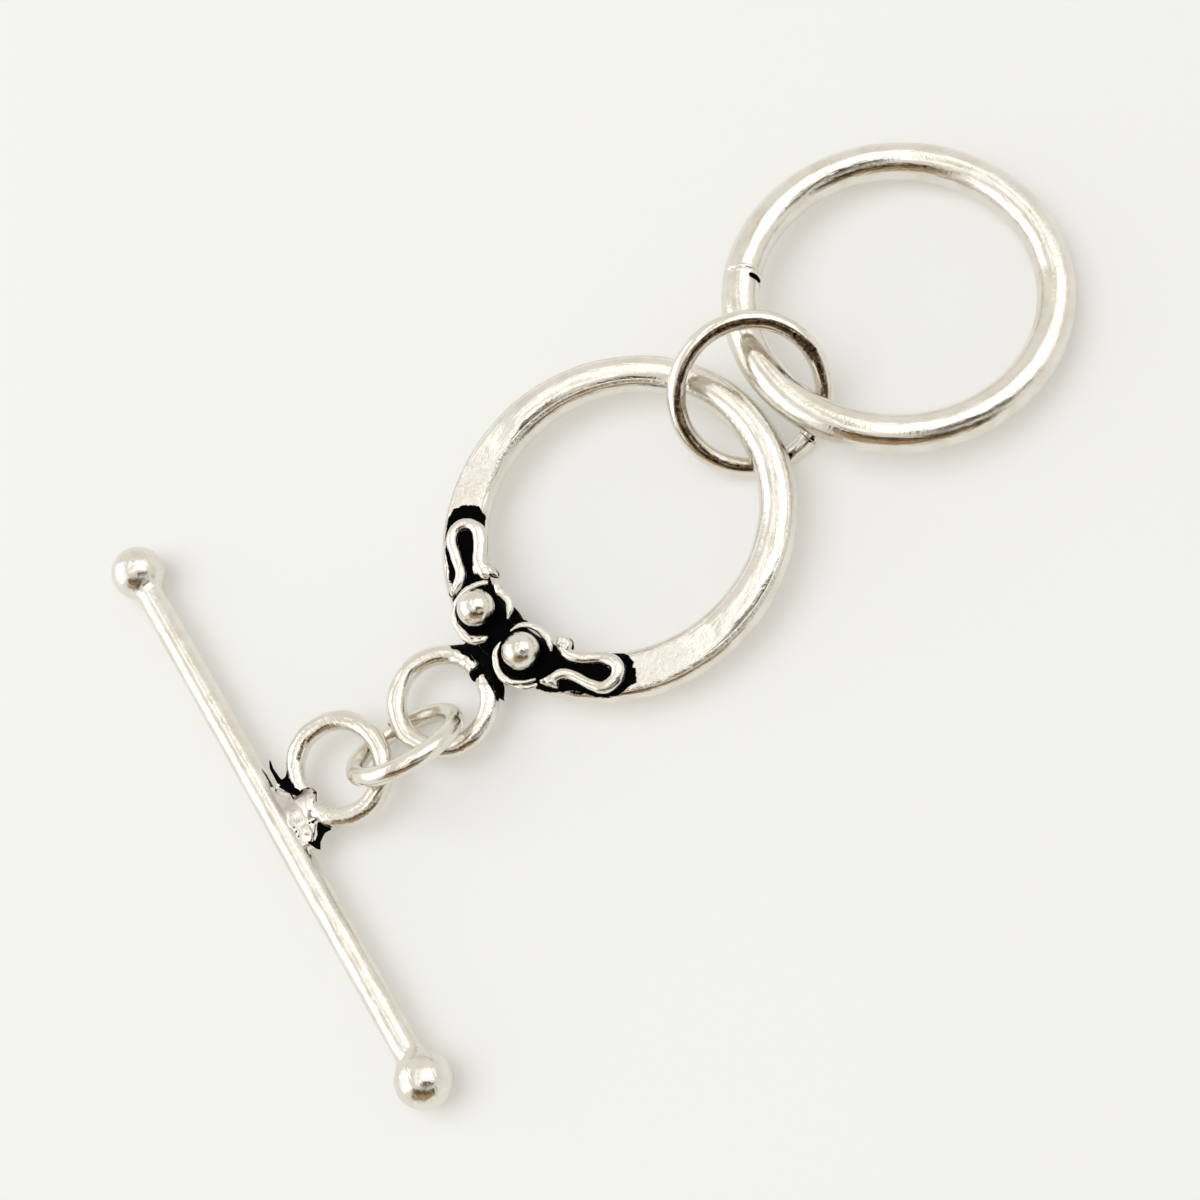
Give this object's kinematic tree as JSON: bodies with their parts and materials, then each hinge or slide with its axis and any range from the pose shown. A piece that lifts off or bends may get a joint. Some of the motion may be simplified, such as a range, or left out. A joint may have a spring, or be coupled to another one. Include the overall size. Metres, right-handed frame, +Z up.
{
  "type": "toggle clasp",
  "caption": "Silver toggle clasp laid out flat: ball-ended bar on an eye, small link, hammered toggle ring with granules and wire loops, jump ring and large plain end ring.",
  "frame": {"origin": "under the middle of the laid-out clasp, on the surface that it lies on", "axes": "+X along the chain, from the bar to the large ring; +Y along the bar; +Z up from the surface"},
  "size_m": [0.0456, 0.0304, 0.0049],
  "materials": {
    "silver": null,
    "oxidised_silver": null
  },
  "bodies": {
    "root": {"toggle_bar": "silver", "link_ring": "silver", "toggle_ring": "oxidised_silver", "jump_ring": "silver", "end_ring": "silver"}
  },
  "joints": []
}
